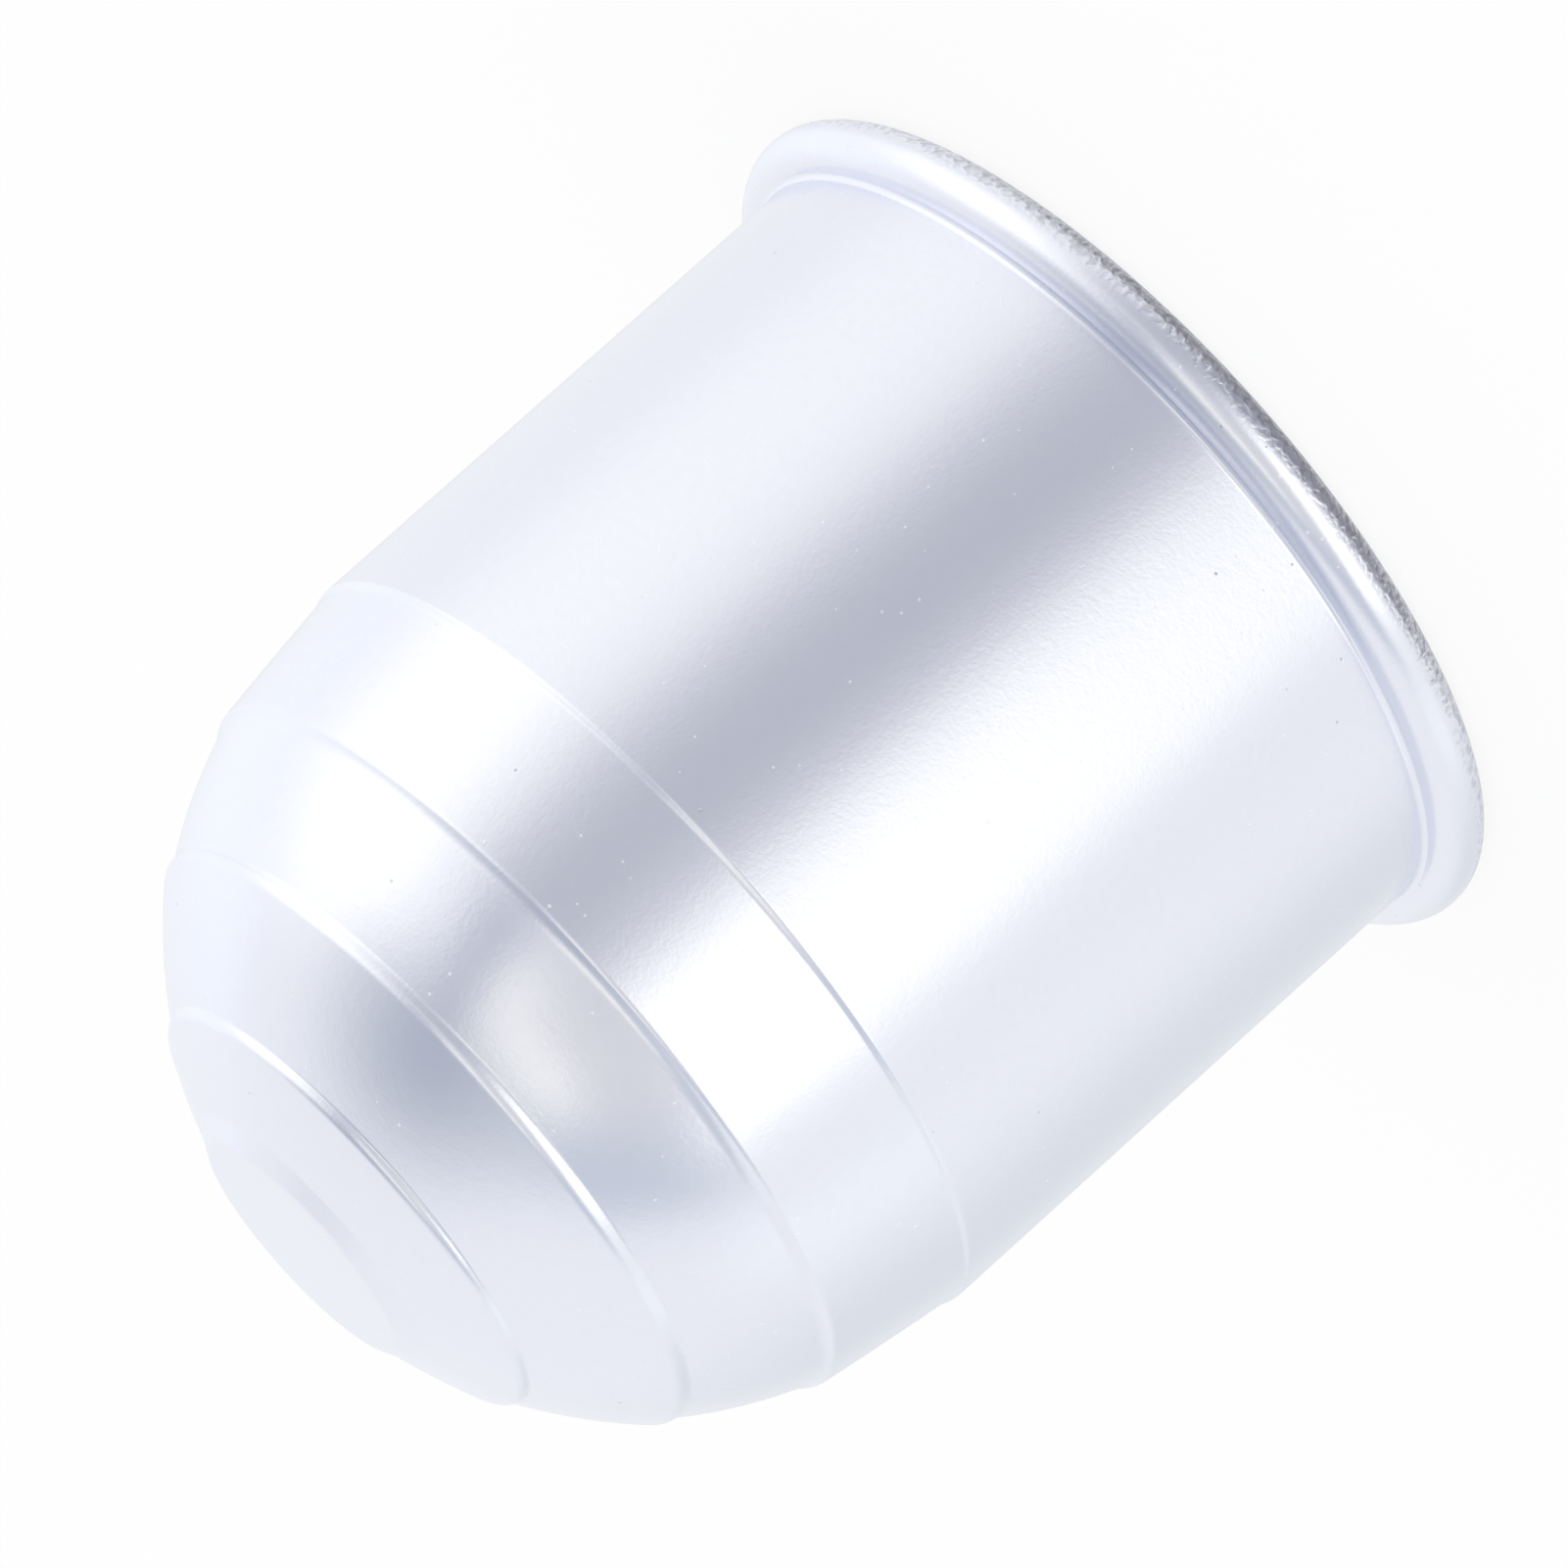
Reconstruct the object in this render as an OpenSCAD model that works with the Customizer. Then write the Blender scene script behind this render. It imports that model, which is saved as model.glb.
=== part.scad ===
// Tow ball cover: a one-piece moulded cap with a stepped dome and a rolled lip.
// The origin is the centre of the open rim's face, and +Z points along the axis to the dome.

/* [Body] */
// Diameter of the body where the dome starts, which is also the dome's sphere
body_diameter = 59; // [57:0.5:63]
// Height of the dome's foot above the rim
shoulder_height = 43.4; // [38:0.2:50]
// Angle by which the body widens towards the rim
draft = 0.5; // [0.2:0.1:1]
// Thickness of the moulded wall
wall = 2; // [1.6:0.1:2.4]

/* [Lip] */
// Largest diameter of the rolled lip
lip_diameter = 65; // [64:0.5:68]
// Height of the lip's round bead
bead_height = 3.8; // [3:0.1:4.6]
// Radius of the fillet between the body and the lip
lip_fillet = 0.4; // [0.2:0.05:0.8]
// Radius of the lead-in round the inside of the mouth
mouth_round = 0.8; // [0.4:0.1:1.2]

/* [Dome] */
// Angle up the sphere at which the first step starts
first_step_angle = 19.7; // [18:0.1:21]
// Angle up the sphere at which the second step starts
second_step_angle = 37.6; // [36:0.1:39]
// Angle up the sphere at which the third step starts
third_step_angle = 56.9; // [55:0.1:58]
// Angle up the sphere at which the crown's step starts
crown_step_angle = 70.8; // [69.5:0.1:72]
// How far the second step's foot lies inside the sphere
second_step_inset = 0.14; // [0:0.01:0.2]
// How far the third step's foot lies inside the sphere
third_step_inset = 0.12; // [0:0.01:0.2]
// How far the first band bulges past a straight cone
first_band_bulge = 0.03; // [0.02:0.01:0.08]
// How far the second band bulges past a straight cone
second_band_bulge = 0.28; // [0.05:0.01:0.3]
// How far the third band bulges past a straight cone
third_band_bulge = 0.3; // [0.05:0.01:0.3]
// How far the fourth band bulges past a straight cone
fourth_band_bulge = 0.1; // [0.05:0.01:0.2]
// How far the crown's disc bulges at its middle
crown_bulge = 0.12; // [0.05:0.01:0.2]

/* [Shoulder's step] */
// Length of the slope on the shoulder
shoulder_length = 0.42; // [0.35:0.01:0.8]
// Lean of the slope on the shoulder
shoulder_lean = 33; // [28:1:38]
// Radius of the corner below the slope
shoulder_lower_round = 0.4; // [0.2:0.05:0.45]
// Radius of the hollow above the slope
shoulder_upper_round = 0.6; // [0.3:0.05:0.65]

/* [First step] */
// Length of the step's slope
first_length = 0.7; // [0.65:0.01:0.9]
// Lean of the slope
first_lean = 45; // [41:1:48]
// Radius of the corner below the slope
first_lower_round = 0.65; // [0.2:0.05:0.7]
// Radius of the hollow above the slope
first_upper_round = 1.8; // [0.4:0.1:1.9]

/* [Second step] */
// Length of the step's face
second_length = 0.7; // [0.65:0.01:0.9]
// Lean of the face
second_lean = 5; // [2:1:10]
// Radius of the hollow below the face
second_lower_round = 0.6; // [0.2:0.05:0.65]
// Radius of the corner above the face
second_upper_round = 1.1; // [0.4:0.1:1.2]

/* [Third step] */
// Length of the step's face
third_length = 0.6; // [0.55:0.01:0.8]
// Lean of the face
third_lean = 16; // [14:1:22]
// Radius of the hollow below the face
third_lower_round = 0.35; // [0.15:0.05:0.4]
// Radius of the corner above the face
third_upper_round = 0.8; // [0.2:0.05:0.85]

/* [Crown's step] */
// Length of the step's slope
crown_length = 1.25; // [1:0.05:1.4]
// Lean of the slope
crown_lean = 49; // [46:1:53]
// Radius of the hollow below the slope
crown_lower_round = 1.5; // [0.4:0.1:1.6]
// Radius of the corner above the slope
crown_upper_round = 1.2; // [0.4:0.1:1.3]

/* [Grip ribs] */
// Diameter of the ball that the cap is pushed on to
ball_diameter = 50; // [49:0.5:51]
// Gap between the ball and the ribs' crests
ball_clearance = 0.1; // [0:0.05:0.3]
// Number of ribs round the inside
rib_count = 8; // [4:1:12]
// Thickness of a rib at its crest
rib_crest = 1; // [0.8:0.1:1.4]
// Thickness of a rib where it joins the wall
rib_root = 1.6; // [1.4:0.1:2]
// Height of the ribs' lower ends above the rim
rib_start = 7; // [5:0.5:12]
// Height over which a rib's lower end slopes in to its crest
rib_lead = 5; // [3:0.5:8]
// Height of the ribs' crests above the shoulder
rib_reach = 6; // [4:0.5:8]

/* [Hidden] */
round_fn = 96;
turn_fn = 180;
dome_radius = body_diameter / 2;
lip_radius = lip_diameter / 2;
bead_radius = bead_height / 2;
bead_centre = [lip_radius - bead_radius, bead_radius];
crest_radius = ball_diameter / 2 + ball_clearance;
// Step 0 is at the shoulder, steps 1 to 3 lie between the bands, and step 4 carries the crown's disc
angles = [0, first_step_angle, second_step_angle, third_step_angle, crown_step_angle];
insets = [0, 0, second_step_inset, third_step_inset, 0];
lengths = [shoulder_length, first_length, second_length, third_length, crown_length];
leans = [shoulder_lean, first_lean, second_lean, third_lean, crown_lean];
// A round on a corner that sticks out has a size above 0, and one in a hollow has a size below 0
lower_sizes = [
    shoulder_lower_round, first_lower_round, -second_lower_round, -third_lower_round, -crown_lower_round
];
upper_sizes = [
    -shoulder_upper_round, -first_upper_round, second_upper_round, third_upper_round, crown_upper_round
];
bulges = [first_band_bulge, second_band_bulge, third_band_bulge, fourth_band_bulge];
crown_step = len(angles) - 1;
// How far a helping outline runs past the round outline that it trims or joins
past = 1;

// Radius of the body's outside at height z
function body_radius(z) = dome_radius + (shoulder_height - z) * tan(draft);
// Radius of the body's inside at height z
function bore_radius(z) = body_radius(z) - wall;
// Outward direction of a surface that leans back by an angle
function facing(lean) = [cos(lean), sin(lean)];
// Direction up a surface that leans back by an angle
function climb(lean) = [-sin(lean), cos(lean)];
// Lower corner of step i before it is rounded, on the dome's sphere or a little inside it
function foot(i) = [0, shoulder_height] + (dome_radius - insets[i]) * facing(angles[i]);
// Upper corner of step i before it is rounded
function head(i) = foot(i) + lengths[i] * climb(leans[i]);
crown_height = head(crown_step)[1] + crown_bulge;

// Radius of a circle whose arc rises by bulge over a chord
function arc_radius(chord, bulge) = chord * chord / (8 * bulge) + bulge / 2;
// Centre of the arc that runs from a to b and bulges to its right
function arc_centre(a, b, bulge) =
    let (span = b - a, chord = norm(span), outward = [span[1], -span[0]] / chord)
    (a + b) / 2 - outward * (arc_radius(chord, bulge) - bulge);
// Arcs 0 to 3 are the bands above those steps, and arc 4 is the crown's disc
radii = [
    for (i = [0 : crown_step])
        i < crown_step
            ? arc_radius(norm(foot(i + 1) - head(i)), bulges[i])
            : arc_radius(2 * head(i)[0], crown_bulge)
];
centres = [
    for (i = [0 : crown_step])
        i < crown_step ? arc_centre(head(i), foot(i + 1), bulges[i]) : [0, crown_height - radii[i]]
];

// Centre of the round where step i's face meets arc k at a corner
function round_centre(i, k, corner, size) =
    let (
        start = corner - size * facing(leans[i]) - centres[k],
        along = start * climb(leans[i]),
        root = sqrt(along * along - start * start + pow(radii[k] - size, 2)),
        shift = abs(root - along) < abs(root + along) ? root - along : -root - along
    )
    centres[k] + start + shift * climb(leans[i]);
// Centre of the round where the body meets the shoulder's slope
function shoulder_centre(size) =
    foot(0) - size * (facing(draft) + facing(leans[0])) / (1 + facing(draft) * facing(leans[0]));
low = [
    for (i = [0 : crown_step])
        i == 0 ? shoulder_centre(lower_sizes[0]) : round_centre(i, i - 1, foot(i), lower_sizes[i])
];
high = [for (i = [0 : crown_step]) round_centre(i, i, head(i), upper_sizes[i])];

// Point at a distance out from arc k, straight out from its centre through p
function beside(k, p, distance) =
    centres[k] + (p - centres[k]) / norm(p - centres[k]) * (radii[k] + distance);
// Ends of the arc above step i, where its rounds start
function arc_start(i) = beside(i, high[i], 0);
function arc_end(i) = beside(i, low[i + 1], 0);
// Corners of the outline round step i: its faces' ends with the rounds' centres between them
function step_corners(i) = [
    i == 0 ? low[0] + lower_sizes[0] * facing(draft) : arc_end(i - 1),
    low[i],
    low[i] + lower_sizes[i] * facing(leans[i]),
    high[i] + upper_sizes[i] * facing(leans[i]),
    high[i],
    arc_start(i)
];

module disc(centre, radius) {
    translate(centre) circle(r = radius, $fn = round_fn);
}

// The rounds of one kind: those that stick out, or those in a hollow
module rounds(kind) {
    for (i = [0 : crown_step]) {
        if (kind * lower_sizes[i] > 0) disc(low[i], abs(lower_sizes[i]));
        if (kind * upper_sizes[i] > 0) disc(high[i], abs(upper_sizes[i]));
    }
}

// Outline of the body and the dome with straight lines in place of the arcs
module core() {
    polygon([
        [0, bead_radius], [body_radius(bead_radius), bead_radius],
        for (i = [0 : crown_step]) each step_corners(i),
        [0, arc_start(crown_step)[1]]
    ]);
}

// What a band's bulge adds to the core
module bulge(i) {
    intersection() {
        translate(centres[i]) circle(r = radii[i], $fn = turn_fn);
        polygon([
            beside(i, arc_start(i), -past), beside(i, arc_start(i), past),
            beside(i, arc_end(i), past), beside(i, arc_end(i), -past)
        ]);
    }
}

// What the crown's bulge adds to the core
module crown() {
    edge = arc_start(crown_step);
    intersection() {
        translate(centres[crown_step]) circle(r = radii[crown_step], $fn = turn_fn);
        polygon([
            [0, edge[1] - past], beside(crown_step, edge, -past),
            beside(crown_step, edge, past), [0, crown_height + past]
        ]);
    }
}

// Outline of the rolled lip and of the fillet that joins it to the body
module lip() {
    reach = bead_radius + lip_fillet;
    slope = tan(draft);
    offset_x = body_radius(bead_radius) + lip_fillet / cos(draft) - bead_centre[0];
    stretch = 1 + slope * slope;
    rise = (offset_x * slope + sqrt(pow(reach, 2) * stretch - pow(offset_x, 2))) / stretch;
    fillet = bead_centre + [offset_x - rise * slope, rise];
    on_body = fillet - lip_fillet * facing(draft);
    on_bead = bead_centre + (fillet - bead_centre) * bead_radius / reach;
    disc(bead_centre, bead_radius);
    square([bead_centre[0], bead_radius]);
    difference() {
        polygon([bead_centre, [bead_centre[0] - bead_radius, bead_radius], on_body, fillet, on_bead]);
        disc(fillet, lip_fillet);
    }
}

// Everything inside the outer surface
module outside() {
    difference() {
        union() {
            lip();
            core();
            for (i = [0 : crown_step - 1]) bulge(i);
            crown();
            rounds(1);
        }
        rounds(-1);
    }
}

// The space below a surface that lies at depth under the outer one
module space(depth) {
    polygon([
        [0, -past], [body_radius(-past) - depth, -past],
        [dome_radius - depth, shoulder_height], [0, shoulder_height]
    ]);
    intersection() {
        translate([0, shoulder_height]) circle(r = dome_radius - depth, $fn = turn_fn);
        translate([0, shoulder_height]) square([dome_radius, crown_height - depth - shoulder_height]);
    }
}

// Rounded widening of the cavity at the rim
module mouth() {
    centre = [bore_radius(mouth_round) + mouth_round / cos(draft), mouth_round];
    tangent = centre - mouth_round * facing(draft);
    difference() {
        polygon([[0, -past], [centre[0], -past], centre, tangent, [0, tangent[1]]]);
        disc(centre, mouth_round);
    }
}

module shell() {
    rotate_extrude($fn = turn_fn)
        difference() {
            outside();
            space(wall);
            mouth();
        }
}

// One grip rib, standing in from the wall to the ball
module rib() {
    crest_top = shoulder_height + rib_reach;
    depth = dome_radius - crest_radius;
    intersection() {
        rotate([90, 0, 0])
            linear_extrude(height = 2 * rib_root, center = true)
                intersection() {
                    space(wall / 2);
                    polygon([
                        [bore_radius(rib_start), rib_start], [crest_radius, rib_start + rib_lead],
                        [crest_radius, crest_top], [dome_radius, crest_top + depth],
                        [dome_radius, rib_start]
                    ]);
                }
        linear_extrude(height = crown_height)
            polygon([
                [crest_radius, -rib_crest / 2], [bore_radius(0), -rib_root / 2], [dome_radius, -rib_root / 2],
                [dome_radius, rib_root / 2], [bore_radius(0), rib_root / 2], [crest_radius, rib_crest / 2]
            ]);
    }
}

module cover() {
    color([0.82, 0.84, 0.89]) {
        shell();
        for (i = [0 : rib_count - 1]) rotate([0, 0, (i + 0.5) * 360 / rib_count]) rib();
    }
}

cover();
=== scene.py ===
"""Looks of the tow ball cover: a plated cap with a stepped dome and a rolled lip, on a pale floor."""

import math

import bmesh
import bpy
from mathutils import Matrix, Vector


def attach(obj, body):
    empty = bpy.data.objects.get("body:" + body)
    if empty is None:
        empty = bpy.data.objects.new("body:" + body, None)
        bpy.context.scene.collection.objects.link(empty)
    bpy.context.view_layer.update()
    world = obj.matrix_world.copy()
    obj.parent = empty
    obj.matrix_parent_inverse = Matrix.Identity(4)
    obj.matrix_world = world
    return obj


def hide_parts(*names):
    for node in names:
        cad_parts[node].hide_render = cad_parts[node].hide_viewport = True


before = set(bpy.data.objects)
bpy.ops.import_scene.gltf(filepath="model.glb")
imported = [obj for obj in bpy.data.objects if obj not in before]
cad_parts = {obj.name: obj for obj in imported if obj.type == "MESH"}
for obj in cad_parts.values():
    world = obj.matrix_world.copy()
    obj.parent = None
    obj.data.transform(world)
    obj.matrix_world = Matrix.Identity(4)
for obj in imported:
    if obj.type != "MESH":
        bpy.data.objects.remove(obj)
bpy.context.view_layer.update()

# One millimetre in metres
MM = 0.001

# Sizes of the cap, in millimetres
DOME_RADIUS = 29.5
SHOULDER_HEIGHT = 43.4
WALL = 2.0
LIP_RADIUS = 32.5
BEAD_RADIUS = 1.9
LIP_FILLET = 0.4
MOUTH_ROUND = 0.8
# The body's draft, in radians
DRAFT = math.radians(0.5)

# The steps between the bands, from the shoulder up to the crown's disc: how far up the dome's sphere
# each one starts and how far inside it, how far its face leans from upright, how long the face is, and
# the rounds below and above it
STEP_ANGLES = [0, 19.7, 37.6, 56.9, 70.2]
STEP_INSETS = [0, 0, 0.14, 0.12, 0]
STEP_TILTS = [33, 45, 5, 16, 60]
STEP_LENGTHS = [0.42, 0.7, 0.7, 0.6, 1.845]
LOWER_ROUNDS = [0.4, 0.65, 0.6, 0.35, 1.5]
UPPER_ROUNDS = [0.6, 1.8, 1.1, 0.8, 1.2]
# 1 where the lower corner sticks out and the upper one is hollow, and -1 where it is the other way round
STEP_WAYS = [1, 1, -1, -1, -1]
# How far the bands and the crown's disc bulge
BAND_BULGES = [0.03, 0.28, 0.3, 0.1]
CROWN_BULGE = 0.12

# The grip ribs: the radius and thickness of the crest, the thickness at the root, where a rib starts, how
# high its lead-in is, how far it reaches above the shoulder, and the round along its edges
RIB_COUNT = 8
RIB_CREST_RADIUS = 25.1
RIB_CREST = 1.0
RIB_ROOT = 1.6
RIB_START = 7.0
RIB_LEAD = 5.0
RIB_REACH = 6.0
RIB_EDGE = 0.12

# How finely the cap is made. Each stretch of the outline has its number of pieces, and the share of it at
# which one more point hugs each end, so that the shading stays true there
BAND = (10, 0.004)
FACE = (1, 0.06)
ROUND = (8, 0)
SIDE = (12, 0.0015)
BEAD = (26, 0)
RIM = (3, 0.03)
BORE = (10, 0.01)
VAULT = (18, 0.004)
ROOF = (4, 0.01)
TURN_STEPS = 288
RIB_BACK_STEPS = 6
RIB_EDGE_STEPS = 3
# Points closer than this are one point: on the outline, and after it is turned, in millimetres
SAME_POINT = 0.0005
WELD = 0.0003

# The plating's roughness, and how much each thing adds to it
SATIN = 0.265
CLOUDS = 0.05
ROUGHER_INSIDE = 0.13
ROUGHER_SAND = 0.05
ROUGHER_SPECKS = 0.1
# The plating's relief, in millimetres
PEEL_HEIGHT = 0.005
GRAIN_HEIGHT = 0.006
SAND_HEIGHT = 0.13
PIMPLE_HEIGHT = 0.005
PIT_DEPTH = 0.02
# The sandy band on the lip: where it ends, upwards and inwards, and how far its top edge wanders
SAND_TOP = (0.9, 1.9)
SAND_INNER = (LIP_RADIUS - 2.2, LIP_RADIUS - 1.6)
SAND_WANDER = 1.6
# The share of pimples among the places for specks, the share of pits, and how much that grows down to the
# lip between two heights
PIMPLES = 0.25
PITS = 0.012
PITS_AT_LIP = 0.07
PIT_FADE = (6, 15)
# Radius of the smallest speck and what the largest has more, as shares of the distance between specks
SPECK_RADIUS = 0.07
SPECK_SPREAD = 0.12
# How much of the plating's colour is hidden by the painted shade in the sand's hollows and by the pits, and
# how much of its metal the pimples give up to a pale colour that is a painted glint
SAND_COVER = 0.5
PIT_COVER = 0.6
PIMPLE_GLINT_COVER = 0.8
# Colours
WHITE = (1, 1, 1, 1)
BRIGHT_PLATING = (0.812, 0.834, 0.911, 1)
DIM_PLATING = (0.798, 0.818, 0.896, 1)
INNER_PLATING = (0.62, 0.64, 0.69, 1)
# Dark grey of the sandy band: a little of it is the band's own rough tone, and most of it is painted shade
# in the hollows between the grains
SANDY_TONE_AND_SHADE = (0.45, 0.45, 0.50, 1)
PIT_GREY = (0.32, 0.33, 0.38, 1)
# Pale colour of the pimples, a painted glint
PIMPLE_GLINT_WHITE = (0.93, 0.94, 0.97, 1)
FLOOR_PAINT = (0.95, 0.95, 0.95, 1)

# Half the floor's side, in metres, and how far the camera sees the floor as plain white
FLOOR_REACH = 1.6
FLOOR_WHITE = 0.86
# The camera: the point it looks at and its distance from that, in metres, how far it looks down and how
# far the picture is turned, in degrees, and its lens and sensor, in millimetres
CAMERA_AIM = Vector((0.00152, 0, 0.029176))
CAMERA_DISTANCE = 0.54087
CAMERA_FALL = 16.271
CAMERA_TURN = -131.8
LENS = 197.52
SENSOR = 36


# Outline of the cap's section
def body_radius(z):
    return DOME_RADIUS + (SHOULDER_HEIGHT - z) * math.tan(DRAFT)


def bore_radius(z):
    return body_radius(z) - WALL


def facing(tilt):
    """Outward direction of a surface that leans back by tilt from upright."""
    return Vector((math.cos(tilt), math.sin(tilt)))


def tilt_of(i):
    return math.radians(STEP_TILTS[i])


def step_foot(i):
    """Lower corner of step i before it is rounded, on the dome's sphere or a little inside it."""
    up_the_dome = facing(math.radians(STEP_ANGLES[i]))
    return Vector((0, SHOULDER_HEIGHT)) + (DOME_RADIUS - STEP_INSETS[i]) * up_the_dome


def step_head(i):
    """Upper corner of step i, before it is rounded."""
    out = facing(tilt_of(i))
    return step_foot(i) + STEP_LENGTHS[i] * Vector((-out.y, out.x))


def arc_radius(chord, bulge):
    return chord * chord / (8 * bulge) + bulge / 2


def band_arc(i):
    """Centre and radius of the slightly bulging band above step i."""
    a, b = step_head(i), step_foot(i + 1)
    span = b - a
    outward = Vector((span.y, -span.x)).normalized()
    radius = arc_radius(span.length, BAND_BULGES[i])
    return (a + b) / 2 - outward * (radius - BAND_BULGES[i]), radius


def crown_height():
    return step_head(len(STEP_ANGLES) - 1).y + CROWN_BULGE


def crown_arc():
    """Centre and radius of the crown's slightly bulging disc."""
    radius = arc_radius(2 * step_head(len(STEP_ANGLES) - 1).x, CROWN_BULGE)
    return Vector((0, crown_height() - radius)), radius


def round_centre(i, corner, centre, radius, size):
    """Centre of the round between step i's face and the arc that meets it. A hollow's size is negative."""
    out = facing(tilt_of(i))
    up = Vector((-out.y, out.x))
    start = corner - size * out - centre
    along = start.dot(up)
    root = math.sqrt(along ** 2 - start.dot(start) + (radius - size) ** 2)
    return centre + start + up * min(root - along, -root - along, key=abs)


def angle_of(v):
    return math.atan2(v.y, v.x)


def shares(steps, lead):
    """Where the points of a stretch lie, as shares of it."""
    even = [k / steps for k in range(steps + 1)]
    if not lead:
        return even
    return sorted(even + [lead, 1 - lead])


def arc(centre, radius, start, end, pieces):
    return [centre + radius * facing(start + (end - start) * share) for share in shares(*pieces)]


def line(a, b, pieces):
    return [a.lerp(b, share) for share in shares(*pieces)]


def dome_outline():
    """From the crown's middle over the bands and steps to the body."""
    arcs = [band_arc(i) for i in range(len(STEP_ANGLES) - 1)] + [crown_arc()]
    points = []
    turn = math.radians(90)
    for i in reversed(range(len(STEP_ANGLES))):
        tilt = tilt_of(i)
        low_size = STEP_WAYS[i] * LOWER_ROUNDS[i]
        high_size = -STEP_WAYS[i] * UPPER_ROUNDS[i]
        centre, radius = arcs[i]
        high = round_centre(i, step_head(i), centre, radius, high_size)
        high_turn = angle_of(high - centre)
        points += arc(centre, radius, turn, high_turn, BAND)
        if i:
            centre, radius = arcs[i - 1]
            low = round_centre(i, step_foot(i), centre, radius, low_size)
            turn = angle_of(low - centre)
        else:
            both = facing(DRAFT) + facing(tilt)
            low = step_foot(0) - low_size * both / (1 + facing(DRAFT).dot(facing(tilt)))
            turn = DRAFT
        points += arc(high, high_size, high_turn, tilt, ROUND)
        points += line(high + high_size * facing(tilt), low + low_size * facing(tilt), FACE)
        points += arc(low, low_size, tilt, turn, ROUND)
    return points


def lip_outline(start):
    """Down the body's side, through the fillet and round the bead."""
    bead = Vector((LIP_RADIUS - BEAD_RADIUS, BEAD_RADIUS))
    reach = BEAD_RADIUS + LIP_FILLET
    slope = math.tan(DRAFT)
    across = body_radius(BEAD_RADIUS) + LIP_FILLET / math.cos(DRAFT) - bead.x
    rise = (across * slope + math.sqrt(reach ** 2 * (1 + slope ** 2) - across ** 2)) / (1 + slope ** 2)
    fillet = bead + Vector((across - rise * slope, rise))
    to_bead = bead - fillet
    points = line(start, fillet - facing(DRAFT) * LIP_FILLET, SIDE)
    points += arc(fillet, LIP_FILLET, math.pi + DRAFT, angle_of(to_bead) + 2 * math.pi, ROUND)
    points += arc(bead, BEAD_RADIUS, angle_of(-to_bead), math.radians(-90), BEAD)
    return points


def inner_outline(start):
    """Across the underside, round the mouth, up the bore and over the vault to the middle of the roof."""
    mouth = Vector((bore_radius(MOUTH_ROUND) + MOUTH_ROUND / math.cos(DRAFT), MOUTH_ROUND))
    bore_foot = mouth - facing(DRAFT) * MOUTH_ROUND
    inner = DOME_RADIUS - WALL
    rise = crown_height() - WALL - SHOULDER_HEIGHT
    turn = math.asin(rise / inner)
    roof_edge = Vector((inner * math.cos(turn), SHOULDER_HEIGHT + rise))
    roof_middle = Vector((0, SHOULDER_HEIGHT + rise))
    points = line(start, Vector((mouth.x, 0)), RIM)
    points += arc(mouth, MOUTH_ROUND, math.radians(270), math.pi + DRAFT, ROUND)
    points += line(bore_foot, Vector((inner, SHOULDER_HEIGHT)), BORE)
    points += arc(Vector((0, SHOULDER_HEIGHT)), inner, 0, turn, VAULT)
    points += line(roof_edge, roof_middle, ROOF)
    return points


def outline():
    """The section from the crown's middle down the outside, round the lip and up the inside."""
    points = dome_outline()
    points += lip_outline(points[-1])
    points += inner_outline(Vector((LIP_RADIUS - BEAD_RADIUS, 0)))
    clean = [points[0]]
    for p in points[1:]:
        if (p - clean[-1]).length > SAME_POINT:
            clean.append(p)
    return clean


def add_object(name, data):
    obj = bpy.data.objects.new(name, data)
    bpy.context.scene.collection.objects.link(obj)
    return obj


def outline_object():
    """The section as a chain of edges in the XZ plane, for the tree that turns it."""
    mesh = bpy.data.meshes.new("cap_outline")
    points = [(p.x * MM, 0, p.y * MM) for p in outline()]
    mesh.from_pydata(points, [(k, k + 1) for k in range(len(points) - 1)], [])
    return add_object("cap_outline", mesh)


def rib_section():
    """Side view of a grip rib, whose back is sunk to the middle of the wall."""
    sunk = WALL / 2
    back = DOME_RADIUS - sunk
    # Where the slope at the rib's top meets the middle of the wall
    half = (RIB_CREST_RADIUS + RIB_REACH) / 2
    run = math.sqrt(half ** 2 - (RIB_CREST_RADIUS ** 2 + RIB_REACH ** 2 - back ** 2) / 2) - half
    end = math.atan2(RIB_REACH + run, RIB_CREST_RADIUS + run)
    section = [
        (bore_radius(RIB_START), RIB_START),
        (RIB_CREST_RADIUS, RIB_START + RIB_LEAD),
        (RIB_CREST_RADIUS, SHOULDER_HEIGHT + RIB_REACH),
    ]
    for k in range(RIB_BACK_STEPS, -1, -1):
        turn = end * k / RIB_BACK_STEPS
        section.append((back * math.cos(turn), SHOULDER_HEIGHT + back * math.sin(turn)))
    section.append((body_radius(RIB_START) - sunk, RIB_START))
    return section


def rib_object():
    """One grip rib, thinner at its crest and with its edges in the bore rounded."""
    mouth_radius = bore_radius(0)

    def half_thickness(x):
        share = (x - RIB_CREST_RADIUS) / (mouth_radius - RIB_CREST_RADIUS)
        return (RIB_CREST + (RIB_ROOT - RIB_CREST) * min(share, 1)) / 2

    bm = bmesh.new()
    section = rib_section()
    sides = [
        [bm.verts.new((x * MM, way * half_thickness(x) * MM, z * MM)) for x, z in section]
        for way in (-1, 1)
    ]
    bm.faces.new(sides[0])
    bm.faces.new(reversed(sides[1]))
    for k in range(len(section)):
        n = (k + 1) % len(section)
        bm.faces.new((sides[0][k], sides[1][k], sides[1][n], sides[0][n]))
    bmesh.ops.recalc_face_normals(bm, faces=bm.faces)
    in_bore = [edge for edge in bm.edges if all(v.co.x <= mouth_radius * MM for v in edge.verts)]
    bmesh.ops.bevel(
        bm, geom=in_bore, offset=RIB_EDGE * MM, segments=RIB_EDGE_STEPS, profile=0.5, affect="EDGES",
    )
    mesh = bpy.data.meshes.new("grip_rib")
    bm.to_mesh(mesh)
    bm.free()
    return add_object("grip_rib", mesh)


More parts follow.
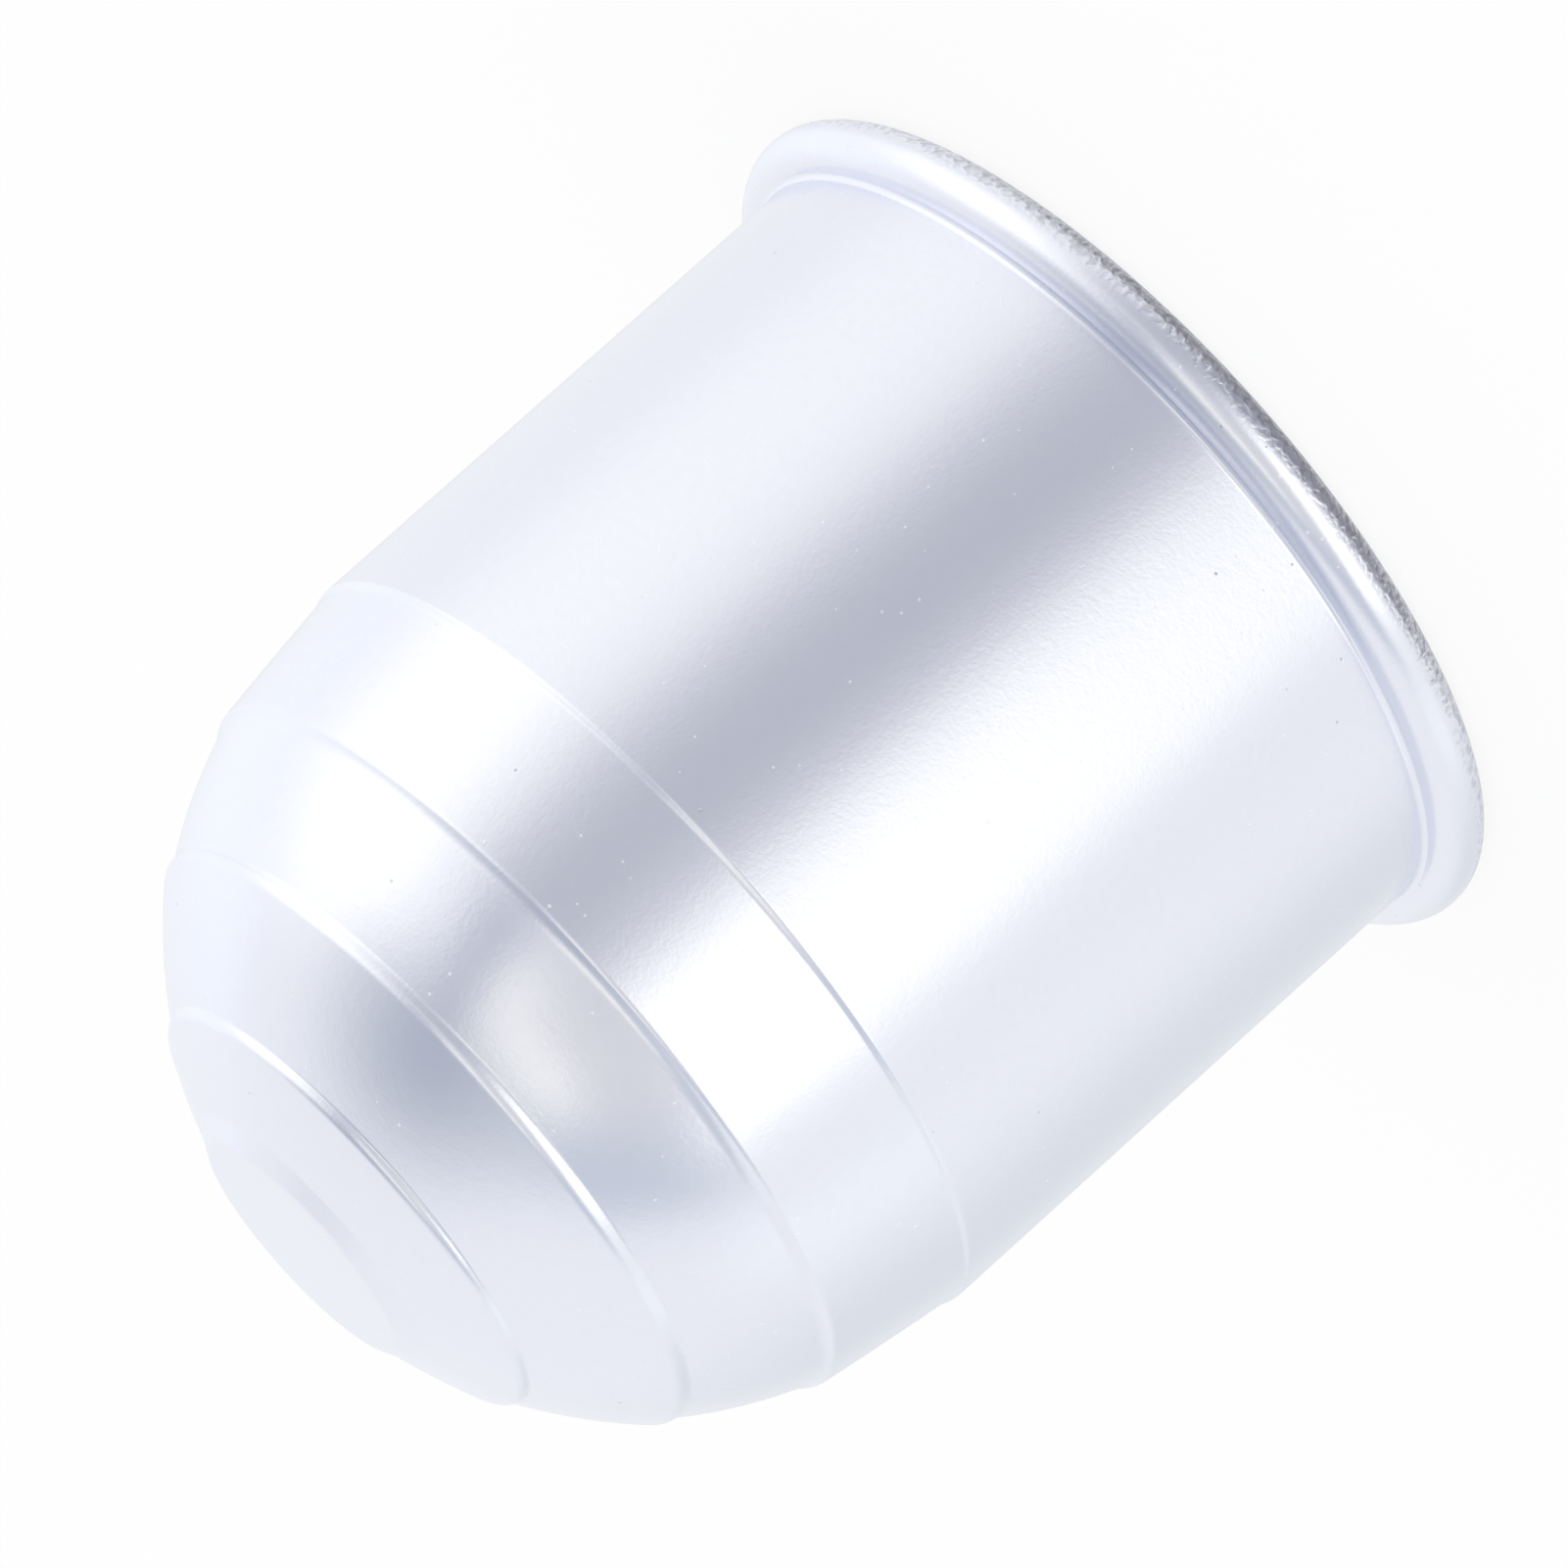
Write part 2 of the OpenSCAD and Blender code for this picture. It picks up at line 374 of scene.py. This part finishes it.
# Node trees as Python expressions
def join(tree, value, socket):
    """Puts a number, a vector or another node's output on an input."""
    if isinstance(value, Wire):
        tree.links.new(value.socket, socket)
    else:
        socket.default_value = value


class Wire:
    """An output of a node. Arithmetic on it adds Math nodes."""

    def __init__(self, tree, socket):
        self.tree = tree
        self.socket = socket

    def node(self, operation, values, clamp=False):
        node = self.tree.nodes.new("ShaderNodeMath")
        node.operation = operation
        node.use_clamp = clamp
        for value, socket in zip(values, node.inputs):
            join(self.tree, value, socket)
        return Wire(self.tree, node.outputs[0])

    def math(self, operation, *others):
        return self.node(operation, (self,) + others)

    def __add__(self, other):
        return self.math("ADD", other)

    def __radd__(self, other):
        return self.node("ADD", (other, self))

    def __sub__(self, other):
        return self.math("SUBTRACT", other)

    def __rsub__(self, other):
        return self.node("SUBTRACT", (other, self))

    def __mul__(self, other):
        return self.math("MULTIPLY", other)

    def __rmul__(self, other):
        return self.node("MULTIPLY", (other, self))

    def __truediv__(self, other):
        return self.math("DIVIDE", other)

    def __rtruediv__(self, other):
        return self.node("DIVIDE", (other, self))

    def __neg__(self):
        return self.math("MULTIPLY", -1)

    def __abs__(self):
        return self.math("ABSOLUTE")

    def __gt__(self, other):
        return self.math("GREATER_THAN", other)

    def __lt__(self, other):
        return self.math("LESS_THAN", other)

    def clamp(self):
        return self.node("ADD", (self, 0), clamp=True)

    def floor(self):
        return self.math("FLOOR")

    def sqrt(self):
        return self.math("SQRT")

    def step(self, start, end):
        """0 at start and 1 at end, with an S-shaped change between them."""
        node = self.tree.nodes.new("ShaderNodeMapRange")
        node.interpolation_type = "SMOOTHSTEP"
        join(self.tree, self, node.inputs["Value"])
        join(self.tree, start, node.inputs["From Min"])
        join(self.tree, end, node.inputs["From Max"])
        return Wire(self.tree, node.outputs["Result"])


class Tree:
    """A node tree whose nodes are all added by one method."""

    def __init__(self, tree):
        self.tree = tree
        tree.nodes.clear()

    def add(self, kind, settings=None, **sockets):
        """Adds a node, sets its settings, then its inputs by name, with _ for a space, or number, as i0."""
        node = self.tree.nodes.new(kind)
        for name, value in (settings or {}).items():
            setattr(node, name, value)
        for name, value in sockets.items():
            numbered = name[0] == "i" and name[1:].isdigit()
            socket = node.inputs[int(name[1:])] if numbered else node.inputs[name.replace("_", " ")]
            join(self.tree, value, socket)
        return node

    def out(self, node, name=0):
        return Wire(self.tree, node.outputs[name])

    def axes(self, vector):
        """The three parts of a vector."""
        parts = self.add("ShaderNodeSeparateXYZ", None, Vector=vector)
        return [self.out(parts, k) for k in range(3)]

    def noise(self, place, scale, detail, roughness):
        node = self.add(
            "ShaderNodeTexNoise", None, Vector=place, Scale=scale, Detail=detail, Roughness=roughness,
        )
        return self.out(node)

    def mix(self, factor, a, b):
        """Mix of two colours."""
        node = self.add("ShaderNodeMix", {"data_type": "RGBA"}, i0=factor, i6=a, i7=b)
        return self.out(node, 2)


# The tree that turns the outline and sets the ribs
def cap_tree():
    group = bpy.data.node_groups.new("turned_cap", "GeometryNodeTree")
    face = group.interface
    face.new_socket("Outline", in_out="INPUT", socket_type="NodeSocketGeometry")
    for name, kind in (
        ("Turn Steps", "NodeSocketInt"),
        ("Rib Count", "NodeSocketInt"),
        ("Rib", "NodeSocketObject"),
        ("Finish", "NodeSocketMaterial"),
    ):
        face.new_socket(name, in_out="INPUT", socket_type=kind)
    face.new_socket("Cap", in_out="OUTPUT", socket_type="NodeSocketGeometry")

    t = Tree(group)
    given = t.add("NodeGroupInput")
    section = t.out(given, "Outline")
    steps = t.out(given, "Turn Steps")
    ribs = t.out(given, "Rib Count")
    whole_turn = 2 * math.pi

    # A sheet whose rows are the outline's points and whose columns go once round the axis
    size = t.add("GeometryNodeAttributeDomainSize", {"component": "MESH"}, Geometry=section)
    count = t.out(size, "Point Count")
    columns = steps + 1
    sheet = t.out(t.add("GeometryNodeMeshGrid", None, Vertices_X=count, Vertices_Y=columns), "Mesh")
    index = t.out(t.add("GeometryNodeInputIndex"))
    # An eighth of a column more, so that rounding never drops a row
    row = (index / columns + 0.125 / TURN_STEPS).floor()
    turn = (index - row * columns) * whole_turn / steps
    place = t.out(t.add("GeometryNodeInputPosition"))
    point = t.out(t.add(
        "GeometryNodeSampleIndex", {"data_type": "FLOAT_VECTOR", "domain": "POINT"},
        Geometry=section, i1=place, Index=row,
    ))
    turned = t.out(t.add("ShaderNodeVectorRotate", {"rotation_type": "Z_AXIS"}, Vector=point, Angle=turn))
    sheet = t.out(t.add("GeometryNodeSetPosition", None, Geometry=sheet, Position=turned))
    shell = t.out(t.add("GeometryNodeMergeByDistance", None, Geometry=sheet, Distance=WELD * MM))
    shell = t.out(t.add("GeometryNodeSetShadeSmooth", None, i0=shell, Shade_Smooth=True))

    # The ribs stand half a step round from the section's plane
    seats = t.out(t.add("GeometryNodePoints", None, Count=ribs))
    bearing = (t.out(t.add("GeometryNodeInputIndex")) + 0.5) * whole_turn / ribs
    spin = t.out(t.add("ShaderNodeCombineXYZ", None, Z=bearing))
    spin = t.out(t.add("FunctionNodeEulerToRotation", None, Euler=spin))
    rib = t.out(t.add("GeometryNodeObjectInfo", None, Object=t.out(given, "Rib")), "Geometry")
    set_in = t.out(t.add("GeometryNodeInstanceOnPoints", None, Points=seats, Instance=rib, Rotation=spin))

    both = t.add("GeometryNodeJoinGeometry")
    join(group, set_in, both.inputs[0])
    join(group, shell, both.inputs[0])
    real = t.out(t.add("GeometryNodeRealizeInstances", None, Geometry=t.out(both)))
    done = t.out(t.add("GeometryNodeSetMaterial", None, Geometry=real, Material=t.out(given, "Finish")))
    t.add("NodeGroupOutput", None, Cap=done)
    return group


def set_input(modifier, name, value):
    for item in modifier.node_group.interface.items_tree:
        if item.item_type == "SOCKET" and item.in_out == "INPUT" and item.name == name:
            modifier[item.identifier] = value


def make_cap(finish):
    """The whole cap as one plain mesh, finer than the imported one."""
    source = outline_object()
    rib = rib_object()
    modifier = source.modifiers.new("turn", "NODES")
    modifier.node_group = cap_tree()
    set_input(modifier, "Turn Steps", TURN_STEPS)
    set_input(modifier, "Rib Count", RIB_COUNT)
    set_input(modifier, "Rib", rib)
    set_input(modifier, "Finish", finish)
    depsgraph = bpy.context.evaluated_depsgraph_get()
    mesh = bpy.data.meshes.new_from_object(source.evaluated_get(depsgraph))
    mesh.name = "plated_cap"
    bm = bmesh.new()
    bm.from_mesh(mesh)
    bmesh.ops.recalc_face_normals(bm, faces=bm.faces)
    bm.to_mesh(mesh)
    bm.free()
    source.modifiers.clear()
    for leftover in (source, rib):
        bpy.data.objects.remove(leftover)
    return add_object("plated_cap", mesh)


# Satin plating
def plating():
    material = bpy.data.materials.new("satin_plating")
    material.use_nodes = True
    t = Tree(material.node_tree)
    place = t.out(t.add("ShaderNodeTexCoord"), "Object")
    place = t.out(t.add("ShaderNodeVectorMath", {"operation": "SCALE"}, i0=place, Scale=1 / MM))
    x, y, z = t.axes(place)

    # Distance from the bore's axis or, in the dome, from its centre: less than the wall's middle is inside
    over = (z - SHOULDER_HEIGHT).math("MAXIMUM", 0)
    reach = (x * x + y * y + over * over).sqrt()
    inside = 1 - reach.step(DOME_RADIUS - 0.75 * WALL, DOME_RADIUS - 0.45 * WALL)

    peel = t.noise(place, scale=1.7, detail=2.0, roughness=0.55)
    grain = t.noise(place, scale=3.8, detail=1.0, roughness=0.6)
    cloud = t.noise(place, scale=0.09, detail=3.0, roughness=0.5)
    sand = t.noise(place, scale=2.3, detail=0.6, roughness=0.5)

    # The lower outer half of the lip is sandy, up to a ragged edge. It is darker between the grains, and
    # that dark is painted shade in the sand's hollows
    ragged = z + (sand - 0.5) * SAND_WANDER
    sandy = (1 - ragged.step(*SAND_TOP)) * reach.step(*SAND_INNER)
    shade_between_grains = (0.1 + (0.58 - sand) * 4).clamp()

    # Pimples and pits in the plating, with more pits just above the lip. The pimples are real bumps, and
    # their pale, less metallic colour is a painted glint
    cells = t.add("ShaderNodeTexVoronoi", {"feature": "F1"}, Vector=place, Scale=1.1, Randomness=1.0)
    chance = t.add("ShaderNodeSeparateColor", None, Color=t.out(cells, "Color"))
    kind, size = t.out(chance, 0), t.out(chance, 1)
    speck = 1 - t.out(cells, "Distance").step(0.0, SPECK_RADIUS + size * SPECK_SPREAD)
    pimple_and_glint = speck * (kind > 1 - PIMPLES)
    pit = speck * (kind < PITS + (1 - z.step(*PIT_FADE)) * PITS_AT_LIP)

    colour = t.mix((peel - 0.25) * 2, DIM_PLATING, BRIGHT_PLATING)
    colour = t.mix(inside, colour, INNER_PLATING)
    colour = t.mix(sandy * shade_between_grains * SAND_COVER, colour, SANDY_TONE_AND_SHADE)
    colour = t.mix(pit * PIT_COVER, colour, PIT_GREY)
    colour = t.mix(pimple_and_glint, colour, PIMPLE_GLINT_WHITE)

    rough = SATIN + (cloud - 0.5) * CLOUDS + inside * ROUGHER_INSIDE + sandy * ROUGHER_SAND
    rough = rough + (pimple_and_glint + pit) * ROUGHER_SPECKS
    relief = peel * PEEL_HEIGHT + grain * GRAIN_HEIGHT + sand * sandy * SAND_HEIGHT
    relief = relief + pimple_and_glint * PIMPLE_HEIGHT - pit * PIT_DEPTH
    bump = t.add("ShaderNodeBump", None, Strength=1.0, Distance=MM, Height=relief)
    shader = t.add(
        "ShaderNodeBsdfPrincipled", None,
        Base_Color=colour, Metallic=1 - pimple_and_glint * PIMPLE_GLINT_COVER, Roughness=rough, Normal=t.out(bump),
    )
    t.add("ShaderNodeOutputMaterial", None, Surface=t.out(shader))
    return material


# Floor, studio and camera
def pale_floor():
    mesh = bpy.data.meshes.new("floor")
    corners = [(x * FLOOR_REACH, y * FLOOR_REACH, 0) for x, y in ((-1, -1), (1, -1), (1, 1), (-1, 1))]
    mesh.from_pydata(corners, [], [(0, 1, 2, 3)])
    floor = add_object("floor", mesh)
    material = bpy.data.materials.new("pale_floor")
    material.use_nodes = True
    t = Tree(material.node_tree)
    seen = t.out(t.add("ShaderNodeLightPath"), "Is Camera Ray")
    matt = t.out(t.add("ShaderNodeBsdfDiffuse", None, Color=FLOOR_PAINT))
    white = t.out(t.add("ShaderNodeEmission", None, Color=WHITE, Strength=1.0))
    shader = t.out(t.add("ShaderNodeMixShader", None, i0=seen * FLOOR_WHITE, i1=matt, i2=white))
    t.add("ShaderNodeOutputMaterial", None, Surface=shader)
    mesh.materials.append(material)
    # The cap mirrors the studio's panels, as it does in the photograph, and not the floor under it
    floor.visible_glossy = False


def studio():
    """A white surround. What glossy surfaces mirror has soft light panels, grey flags and a dark ground."""
    world = bpy.data.worlds.new("studio")
    bpy.context.scene.world = world
    world.use_nodes = True
    t = Tree(world.node_tree)
    toward = t.out(t.add("ShaderNodeTexCoord"), "Generated")
    x, y, z = t.axes(toward)
    # Bearing from the camera's side, growing to its right, and height above the horizon, in degrees
    degrees = 180 / math.pi
    bearing = x.math("ARCTAN2", -y) * degrees
    height = z.math("ARCSINE") * degrees

    def between(value, start, end, soft):
        """1 between two soft edges, which lie at half of the change."""
        return value.step(start - soft, start + soft) * (1 - value.step(end - soft, end + soft))

    def panel(left, right, side, low, high, rim):
        """A panel with side as the softness of its left and right edges and rim as that of the others."""
        return between(bearing, left, right, side) * between(height, low, high, rim)

    def below(high, rim):
        return 1 - height.step(high - rim, high + rim)

    # The top edge of the light on the left falls to the right, by 0.41 degrees for each degree of bearing
    under_edge = 1 - (height + bearing * 0.41).step(2, 7.4)
    # How far a direction is from the middle of the grey overhead, in degrees
    overhead = (0.197, -0.227, 0.954)
    cosine = t.add("ShaderNodeVectorMath", {"operation": "DOT_PRODUCT"}, i0=toward, i1=overhead)
    apart = t.out(cosine, "Value").math("ARCCOSINE") * degrees

    # What is seen of each thing, and its colour. Each lies over those before it
    layers = [
        # A grey flag and two pale panels at the far left and right
        (panel(left=-160, right=-116, side=16, low=-41, high=8, rim=16), (0.84, 0.86, 0.87, 1)),
        (panel(left=-100, right=-79, side=4, low=-14, high=24, rim=4), (1.08, 1.09, 1.09, 1)),
        (panel(left=110, right=156, side=20, low=-12, high=38, rim=8), (1.12, 1.13, 1.15, 1)),
        # A grey flag behind the cap, which only the sides and the back mirror
        (abs(bearing).step(162, 178) * between(height, -48, -10, 5), (0.66, 0.68, 0.73, 1)),
        # The grey flags and the warm panel behind the light on the left
        (panel(left=-72, right=-11, side=4, low=21, high=70, rim=14), (0.62, 0.66, 0.73, 1)),
        (panel(left=-28, right=30, side=14, low=37, high=56, rim=3), (1.42, 1.38, 1.24, 1)),
        (panel(left=-44, right=10, side=15, low=11, high=45, rim=3), (0.78, 0.77, 0.78, 1)),
        (panel(left=23, right=40, side=3, low=25, high=64, rim=3), (0.48, 0.50, 0.59, 1)),
        # The light on the left, the dark flag in the middle and the light on the right
        (between(bearing, -54, -3.5, 5) * height.step(-21.6, -16.2) * under_edge, (1.47, 1.45, 1.40, 1)),
        (panel(left=0, right=41, side=14.5, low=-33, high=22, rim=15), (0.56, 0.57, 0.62, 1)),
        (panel(left=55, right=105, side=17, low=-13, high=45, rim=17), (1.37, 1.35, 1.31, 1)),
        # The ground, darkest below the light on the left
        (below(-56, 22), (0.32, 0.31, 0.32, 1)),
        (between(bearing, -85, -5, 13) * below(-37, 14), (0.31, 0.30, 0.34, 1)),
        (between(bearing, -14.5, 18, 15) * below(-24, 10), (0.39, 0.39, 0.45, 1)),
        # The grey overhead
        (1 - apart.step(2, 39.5), (0.44, 0.47, 0.545, 1)),
    ]
    around = WHITE
    for share, colour in layers:
        around = t.mix(share, around, colour)

    glossy = t.out(t.add("ShaderNodeLightPath"), "Is Glossy Ray")
    colour = t.mix(glossy, WHITE, around)
    back = t.add("ShaderNodeBackground", None, Color=colour, Strength=1.0)
    t.add("ShaderNodeOutputWorld", None, Surface=t.out(back))


def camera():
    """The photograph's camera. It looks down on the cap and is turned, so that the dome lies lower left."""
    data = bpy.data.cameras.new("camera")
    data.sensor_width = SENSOR
    data.lens = LENS
    data.clip_start = 0.01
    data.clip_end = 20
    view = add_object("camera", data)
    fall = math.radians(CAMERA_FALL)
    right = Vector((1, 0, 0))
    up = Vector((0, math.sin(fall), math.cos(fall)))
    back = Vector((0, -math.cos(fall), math.sin(fall)))
    upright = Matrix((right, up, back)).transposed().to_4x4()
    stand = Matrix.Translation(CAMERA_AIM + back * CAMERA_DISTANCE)
    view.matrix_world = stand @ upright @ Matrix.Rotation(math.radians(CAMERA_TURN), 4, "Z")
    bpy.context.scene.camera = view


cap = make_cap(plating())
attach(cap, "root")
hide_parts("cover")

pale_floor()
studio()
camera()
bpy.context.scene.view_settings.view_transform = "Standard"
